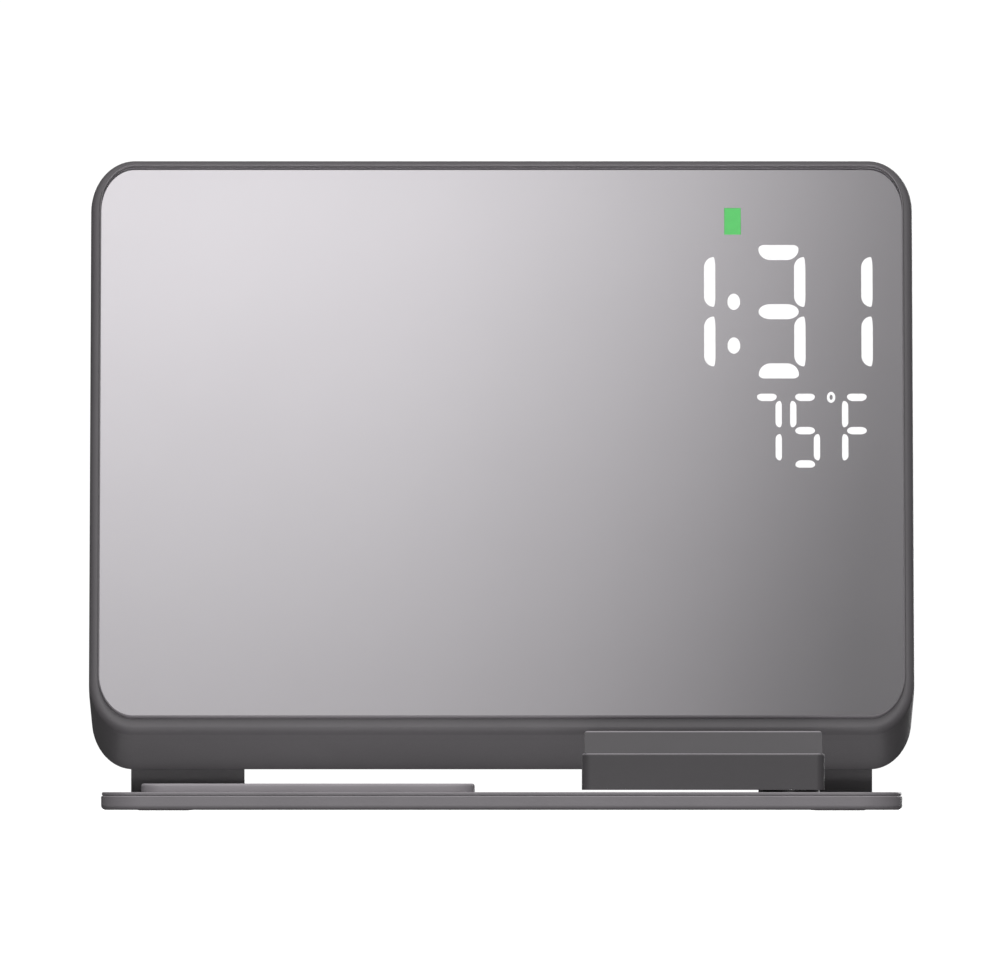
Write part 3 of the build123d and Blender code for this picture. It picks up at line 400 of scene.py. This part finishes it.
# Name, place, aim, size and watts of each soft light
LIGHTS = (
    ("front_fill", (0.0, -1.5, -0.1), (0.0, 0.0, 0.02), (0.4, 0.35), 4.5),
    ("front_key", (0.0, -0.9, 0.85), (0.0, 0.0, 0.05), (0.4, 0.25), 6.0),
    ("top_softbox", (0.0, -0.2, 0.9), (0.0, 0.0, 0.05), (0.6, 0.5), 3.45),
    ("back_fill", (0.25, 0.9, 0.25), (0.0, 0.0, 0.06), (0.6, 0.5), 5.0),
    ("under_bounce", (0.0, -0.025, 0.0056), (0.0, -0.025, 0.1), (0.156, 0.07), 0.0165),
)
CAMERA_NEAR = 0.1
CAMERA_FAR = 30.0


def stage_material(name):
    material = bpy.data.materials.new(name)
    material.use_nodes = True
    return material, material.node_tree.nodes, material.node_tree.links


def make_floor():
    mesh = bpy.data.meshes.new("floor")
    shape = bmesh.new()
    bmesh.ops.create_circle(shape, cap_ends=True, segments=FLOOR_SIDES, radius=FLOOR_RADIUS)
    shape.to_mesh(mesh)
    shape.free()
    floor = bpy.data.objects.new("floor", mesh)
    floor.location.z = -FLOOR_DROP
    material, nodes, _ = stage_material("floor")
    shader = nodes["Principled BSDF"]
    shader.inputs["Base Color"].default_value = (*FLOOR_COLOUR, 1.0)
    shader.inputs["Roughness"].default_value = FLOOR_ROUGHNESS
    shader.inputs["Specular IOR Level"].default_value = 0.0
    shader.inputs["Emission Color"].default_value = (*WHITE_LIGHT, 1.0)
    shader.inputs["Emission Strength"].default_value = FLOOR_GLOW
    mesh.materials.append(material)
    bpy.context.collection.objects.link(floor)
    floor.visible_diffuse = False
    floor.visible_glossy = False
    floor.visible_shadow = False


def ramp_along(nodes, links, value, edge, grade, colour):
    """Grades of a colour along one way across the card, which shows in the glass from -edge to edge."""
    span = nodes.new("ShaderNodeMapRange")
    span.inputs["From Min"].default_value = -edge
    span.inputs["From Max"].default_value = edge
    links.new(value, span.inputs["Value"])
    ramp = grade_ramp(nodes, grade, colour)
    ramp.color_ramp.interpolation = "B_SPLINE"
    links.new(span.outputs["Result"], ramp.inputs["Fac"])
    return ramp.outputs["Color"]


def grade_card(nodes, links):
    place = nodes.new("ShaderNodeUVMap")
    split = nodes.new("ShaderNodeSeparateXYZ")
    links.new(place.outputs["UV"], split.inputs["Vector"])
    half_width = (glass_high.x - glass_low.x) / 2
    half_height = (glass_high.z - glass_low.z) / 2
    slant = nodes.new("ShaderNodeVectorMath")
    slant.operation = "DOT_PRODUCT"
    slant.inputs[1].default_value = (1.0, -CARD_SLANT, 0.0)
    links.new(place.outputs["UV"], slant.inputs[0])
    across = ramp_along(nodes, links, slant.outputs["Value"], half_width, ACROSS_GRADE, CARD_TINT)
    down = ramp_along(nodes, links, split.outputs["Y"], -half_height, DOWN_GRADE, WHITE_LIGHT)
    product = nodes.new("ShaderNodeVectorMath")
    product.operation = "MULTIPLY"
    links.new(across, product.inputs[0])
    links.new(down, product.inputs[1])
    glow = nodes.new("ShaderNodeEmission")
    glow.inputs["Strength"].default_value = CARD_STRENGTH
    links.new(product.outputs["Vector"], glow.inputs["Color"])
    links.new(glow.outputs["Emission"], nodes["Material Output"].inputs["Surface"])


def make_card():
    """A graded light panel that the mirror shows: light at the upper left, dark at the lower right."""
    away = Vector((0.0, -math.cos(2 * TILT), math.sin(2 * TILT)))
    up = Vector((0.0, math.sin(2 * TILT), math.cos(2 * TILT)))
    right = Vector((1.0, 0.0, 0.0))
    middle = (glass_low + glass_high) / 2 + away * CARD_AWAY
    low = -CARD_HALF
    high = CARD_HALF
    corners = [(low, low), (high, low), (high, high), (low, high)]
    mesh = bpy.data.meshes.new("graded_card")
    mesh.from_pydata([middle + right * i + up * j for i, j in corners], [], [(0, 1, 2, 3)])
    layer = mesh.uv_layers.new(name="card")
    for loop, corner in zip(layer.data, corners):
        loop.uv = corner
    card = bpy.data.objects.new("graded_card", mesh)
    material, nodes, links = stage_material("graded_card")
    nodes.remove(nodes["Principled BSDF"])
    grade_card(nodes, links)
    mesh.materials.append(material)
    bpy.context.collection.objects.link(card)
    card.visible_camera = False
    card.visible_diffuse = False
    card.visible_shadow = False


def make_world():
    """White all round for the camera, and a softer light for the object."""
    world = bpy.data.worlds.new("white_room")
    world.use_nodes = True
    nodes = world.node_tree.nodes
    links = world.node_tree.links
    room = nodes["Background"]
    room.inputs["Color"].default_value = (*WHITE_LIGHT, 1.0)
    room.inputs["Strength"].default_value = ROOM_LIGHT
    seen = nodes.new("ShaderNodeBackground")
    seen.inputs["Color"].default_value = (*WHITE_LIGHT, 1.0)
    seen.inputs["Strength"].default_value = ROOM_WHITE
    path = nodes.new("ShaderNodeLightPath")
    mix = nodes.new("ShaderNodeMixShader")
    links.new(path.outputs["Is Camera Ray"], mix.inputs["Fac"])
    links.new(room.outputs["Background"], mix.inputs[1])
    links.new(seen.outputs["Background"], mix.inputs[2])
    links.new(mix.outputs["Shader"], nodes["World Output"].inputs["Surface"])
    bpy.context.scene.world = world


def make_light(name, place, aim, size, watts):
    data = bpy.data.lights.new(name, "AREA")
    data.shape = "RECTANGLE"
    data.size = size[0]
    data.size_y = size[1]
    data.energy = watts
    light = bpy.data.objects.new(name, data)
    light.location = place
    light.rotation_mode = "QUATERNION"
    light.rotation_quaternion = (Vector(aim) - Vector(place)).to_track_quat("-Z", "Y")
    light.visible_camera = False
    bpy.context.collection.objects.link(light)


def make_camera():
    """A long lens level with the base plate's top, as the photograph was taken."""
    data = bpy.data.cameras.new("camera")
    data.lens = LENS
    data.sensor_width = SENSOR
    camera = bpy.data.objects.new("camera", data)
    away = PHOTO_WIDTH * metres_per_px * LENS / SENSOR
    middle_px = (SLAB_LEFT_PX + SLAB_RIGHT_PX) / 2
    aim_x = (PHOTO_WIDTH / 2 - middle_px) * metres_per_px
    aim_z = plate_low.z + (PLATE_FOOT_PX - PHOTO_HEIGHT / 2) * metres_per_px
    aim = Vector((aim_x, slab_middle.y * SCALE_PLANE_SHARE, aim_z))
    camera.location = (aim_x, aim.y - away, cover_high.z)
    camera.rotation_mode = "QUATERNION"
    camera.rotation_quaternion = (aim - camera.location).to_track_quat("-Z", "Y")
    data.clip_start = CAMERA_NEAR
    data.clip_end = CAMERA_FAR
    bpy.context.collection.objects.link(camera)
    bpy.context.scene.camera = camera


make_floor()
make_card()
make_world()
for light in LIGHTS:
    make_light(*light)
make_camera()
bpy.context.scene.view_settings.view_transform = "Standard"
